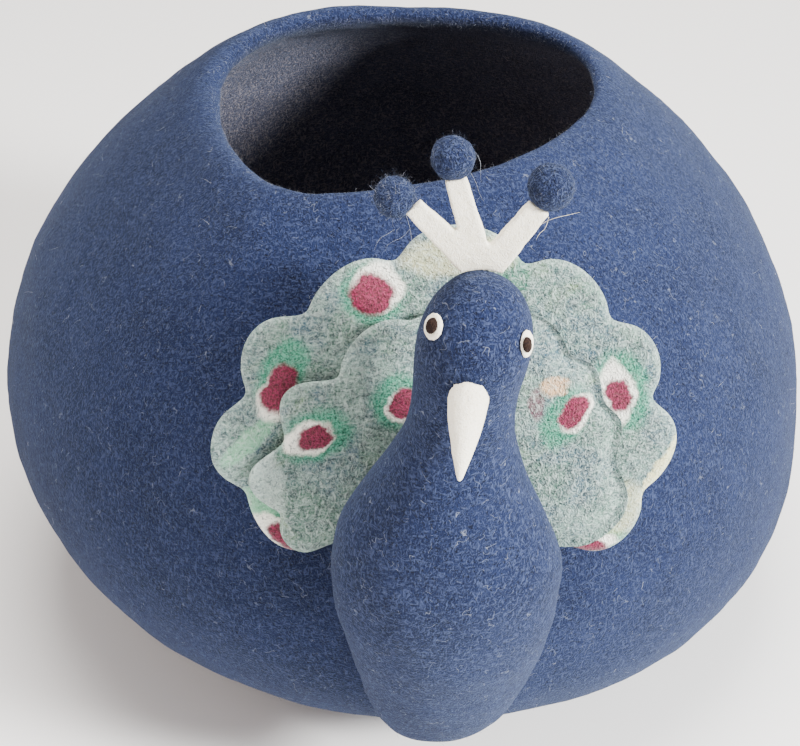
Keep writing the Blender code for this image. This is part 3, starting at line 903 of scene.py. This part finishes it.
def fibreCoat(piece, name, kinds, material, slot, where, density, seed, tilts, sizes):
    # the coat is scattered by geometry nodes on a copy of the piece, and made real
    tree = bpy.data.node_groups.new(name, "GeometryNodeTree")
    tree.interface.new_socket(name="Geometry", in_out="INPUT", socket_type="NodeSocketGeometry")
    tree.interface.new_socket(name="Geometry", in_out="OUTPUT", socket_type="NodeSocketGeometry")
    mask = addNode(tree, "GeometryNodeInputNamedAttribute", {"Name": where}, data_type="FLOAT")
    spread = addNode(
        tree,
        "GeometryNodeDistributePointsOnFaces",
        {
            "Mesh": tree.nodes.new("NodeGroupInput").outputs[0],
            "Density": calc(tree, "MULTIPLY", mask.outputs[0], density),
            "Seed": seed,
        },
        distribute_method="RANDOM",
    )
    # the random node has a pair of low and high sockets for each kind of value
    turn = addNode(tree, "FunctionNodeRandomValue", {"Seed": seed + 1}, data_type="FLOAT_VECTOR")
    turn.inputs[0].default_value = (tilts[0], -sideTilt, 0.0)
    turn.inputs[1].default_value = (tilts[1], sideTilt, 2 * math.pi)
    local = addNode(tree, "FunctionNodeEulerToRotation", {"Euler": turn.outputs[0]}).outputs[0]
    stand = addNode(
        tree,
        "FunctionNodeRotateRotation",
        {"Rotation": spread.outputs["Rotation"], "Rotate By": local},
        rotation_space="LOCAL",
    ).outputs[0]
    size = addNode(tree, "FunctionNodeRandomValue", {"Seed": seed + 2}, data_type="FLOAT")
    size.inputs[2].default_value, size.inputs[3].default_value = sizes
    values = {"Collection": kinds, "Separate Children": True}
    source = addNode(tree, "GeometryNodeCollectionInfo", values)
    pick = addNode(tree, "FunctionNodeRandomValue", {"Seed": seed + 3}, data_type="INT")
    pick.inputs[4].default_value = 0
    pick.inputs[5].default_value = len(kinds.objects) - 1
    placed = addNode(
        tree,
        "GeometryNodeInstanceOnPoints",
        {
            "Points": spread.outputs["Points"],
            "Instance": source.outputs[0],
            "Pick Instance": True,
            "Instance Index": pick.outputs[2],
            "Rotation": stand,
            "Scale": size.outputs[1],
        },
    ).outputs[0]
    real = addNode(tree, "GeometryNodeRealizeInstances", {"Geometry": placed}).outputs[0]
    feed(tree, tree.nodes.new("NodeGroupOutput").inputs[0], real)
    carrier = bpy.data.objects.new(name, piece.data.copy())
    bpy.context.scene.collection.objects.link(carrier)
    applyModifier(carrier, "NODES", node_group=tree)
    return finishPiece(carrier, material)


coats = (
    # carrier, piece, kind of fibre, material, slot, attribute, fibres to the square metre, seed,
    # lowest and highest tilt from the normal, smallest and largest size
    ("cave", "pot_fibres", "long", fibreWool, "navy_felt",
     "coat", 9000, 3, (1.15, 1.54), (0.25, 1.0)),
    ("cave", "pot_hairs", "coarse", hairWool, "navy_felt",
     "coat", 2600, 93, (1.15, 1.50), (0.4, 1.1)),
    ("cave", "lip_hairs", "coarse", hairWool, "navy_felt",
     "lip", 230000, 133, (0.2, 1.30), (0.2, 0.5)),
    ("bird", "peacock_fibres", "curly", fibreWool, "navy_felt",
     "coat", 22000, 13, (1.10, 1.50), (0.35, 1.0)),
    ("bird", "peacock_hairs", "coarse", lipWool, "navy_felt",
     "coat", 9000, 83, (1.15, 1.50), (0.4, 1.1)),
    ("rearTail", "rear_tail_fibres", "long", paleWool, "marbled_felt",
     "coat", 60000, 23, (0.6, 1.45), (0.20, 0.65)),
    ("frontTail", "front_tail_fibres", "long", paleWool, "marbled_felt",
     "coat", 50000, 33, (0.6, 1.45), (0.15, 0.55)),
    ("left_crest_ball", "left_ball_fibres", "curly", fibreWool, "navy_felt",
     "coat", 520000, 43, (0.5, 1.45), (0.30, 0.9)),
    ("left_crest_ball", "left_ball_hairs", "coarse", lipWool, "navy_felt",
     "coat", 150000, 103, (0.4, 1.45), (0.35, 1.0)),
    ("middle_crest_ball", "middle_ball_hairs", "coarse", lipWool, "navy_felt",
     "coat", 70000, 113, (0.6, 1.5), (0.3, 0.8)),
    ("right_crest_ball", "right_ball_hairs", "coarse", lipWool, "navy_felt",
     "coat", 40000, 123, (0.6, 1.5), (0.3, 0.8)),
    ("middle_crest_ball", "middle_ball_fibres", "curly", fibreWool, "navy_felt",
     "coat", 340000, 53, (0.7, 1.5), (0.25, 0.7)),
    ("right_crest_ball", "right_ball_fibres", "curly", fibreWool, "navy_felt",
     "coat", 340000, 63, (0.7, 1.5), (0.25, 0.7)),
    ("peacock_crest", "crest_fibres", "curly", creamFelt, "cream_felt",
     "coat", 90000, 73, (0.9, 1.5), (0.20, 0.55)),
)
fibreKinds = {label: makeFibreKinds(label, shape) for label, shape in fibreShapes.items()}
for carrier, name, kind, *coat in coats:
    felt[name] = fibreCoat(felt[carrier], name, fibreKinds[kind], *coat)
    print(name, len(felt[name].data.polygons), "faces")
for group in fibreKinds.values():
    for sample in list(group.objects):
        bpy.data.objects.remove(sample)

# single long strands, each by the points that it runs through
strand = {"width": 0.00013, "tip": 0.4, "smoothness": 6}  # tip is the share of the width at the end
creamStrands = (
    (
        (0.0585, -0.2565, 0.3880),
        (0.0615, -0.2590, 0.3928),
        (0.0665, -0.2600, 0.3957),
        (0.0719, -0.2595, 0.3967),
        (0.0769, -0.2580, 0.3972),
    ),
    (
        (0.0640, -0.2550, 0.3930),
        (0.0632, -0.2570, 0.3886),
        (0.0598, -0.2580, 0.3868),
        (0.0590, -0.2570, 0.3830),
    ),
)
navyStrands = (
    (
        (-0.0010, -0.2565, 0.3880),
        (-0.0040, -0.2570, 0.3858),
        (-0.0081, -0.2565, 0.3832),
        (-0.0096, -0.2560, 0.3775),
    ),
    (
        (0.0059, -0.2565, 0.3888),
        (0.0030, -0.2570, 0.3843),
        (-0.0023, -0.2565, 0.3820),
        (-0.0052, -0.2560, 0.3787),
    ),
    (
        (0.0040, -0.2560, 0.3943),
        (0.0069, -0.2570, 0.3843),
        (0.0059, -0.2565, 0.3787),
    ),
    (
        (0.0326, -0.2510, 0.4220),
        (0.0350, -0.2530, 0.4193),
        (0.0347, -0.2545, 0.4145),
        (0.0352, -0.2540, 0.4095),
    ),
    (
        (0.0304, -0.2510, 0.4130),
        (0.0335, -0.2530, 0.4085),
        (0.0343, -0.2540, 0.4040),
        (0.0365, -0.2535, 0.3998),
    ),
)


def makeStrands(name, strands, material):
    curve = bpy.data.curves.new(name, "CURVE")
    curve.dimensions = "3D"
    curve.bevel_depth = strand["width"] / 2
    curve.bevel_resolution = 0
    curve.resolution_u = strand["smoothness"]
    for points in strands:
        spline = curve.splines.new("NURBS")
        spline.points.add(len(points) - 1)
        for place, point in zip(spline.points, points):
            place.co = (*point, 1.0)
        spline.points[-1].radius = strand["tip"]
        spline.use_endpoint_u = True
        spline.order_u = 3
    holder = bpy.data.objects.new(name, curve)
    bpy.context.scene.collection.objects.link(holder)
    makeActive(holder)
    bpy.ops.object.convert(target="MESH")
    return finishPiece(bpy.context.active_object, material)


felt["creamStrands"] = makeStrands("cream_strands", creamStrands, creamFelt)
felt["navyStrands"] = makeStrands("navy_strands", navyStrands, hairWool)
print("fibres made")


# floor, lights and camera

stage = {
    "floorSize": 8.0,
    "floor": (0.93, 0.93, 0.93),
    "floorRoughness": 0.9,
    "sky": (1.0, 0.96, 0.93),
    "skyStrength": 0.70,
    "aim": (0.0, 0.0, 0.15),  # where the lamps point
}
lamps = (
    # name, place, size, watts, colour
    ("keyLamp", (1.86, -1.30, 1.34), 0.50, 212, (1.0, 0.99, 0.97)),
    ("fillLamp", (-1.7, -1.1, 1.3), 1.8, 20, (1.0, 0.80, 0.70)),
    ("topLamp", (0.0, -0.10, 2.1), 1.0, 62, (1.0, 0.96, 0.92)),
)
view = {
    "place": (0.0, -1.0517, 0.8661),
    "pitch": math.radians(90 - 34.77),
    "yaw": math.radians(-0.0915),
    "lens": 98.58,
    "farthest": 50,
}


def makeStage():
    deselectAll()
    bpy.ops.mesh.primitive_plane_add(size=stage["floorSize"])
    floor = bpy.context.active_object
    floor.name = "floor"
    material = bpy.data.materials.new("floorPaint")
    material.use_nodes = True
    shader = material.node_tree.nodes["Principled BSDF"]
    shader.inputs["Base Color"].default_value = (*stage["floor"], 1.0)
    shader.inputs["Roughness"].default_value = stage["floorRoughness"]
    floor.data.materials.append(material)
    world = bpy.data.worlds.new("studio")
    world.use_nodes = True
    sky = world.node_tree.nodes["Background"]
    sky.inputs["Color"].default_value = (*stage["sky"], 1.0)
    sky.inputs["Strength"].default_value = stage["skyStrength"]
    bpy.context.scene.world = world
    for name, place, size, watts, colour in lamps:
        lamp = bpy.data.lights.new(name, "AREA")
        lamp.size = size
        lamp.energy = watts
        lamp.color = colour
        holder = bpy.data.objects.new(name, lamp)
        bpy.context.scene.collection.objects.link(holder)
        holder.location = place
        aim = Vector(stage["aim"]) - Vector(place)
        holder.rotation_euler = aim.to_track_quat("-Z", "Y").to_euler()


def makeCamera():
    camera = bpy.data.objects.new("camera", bpy.data.cameras.new("camera"))
    bpy.context.scene.collection.objects.link(camera)
    camera.location = view["place"]
    camera.rotation_euler = (view["pitch"], 0.0, view["yaw"])
    camera.data.lens = view["lens"]
    camera.data.clip_end = view["farthest"]
    bpy.context.scene.camera = camera


makeStage()
makeCamera()
print("scene made")
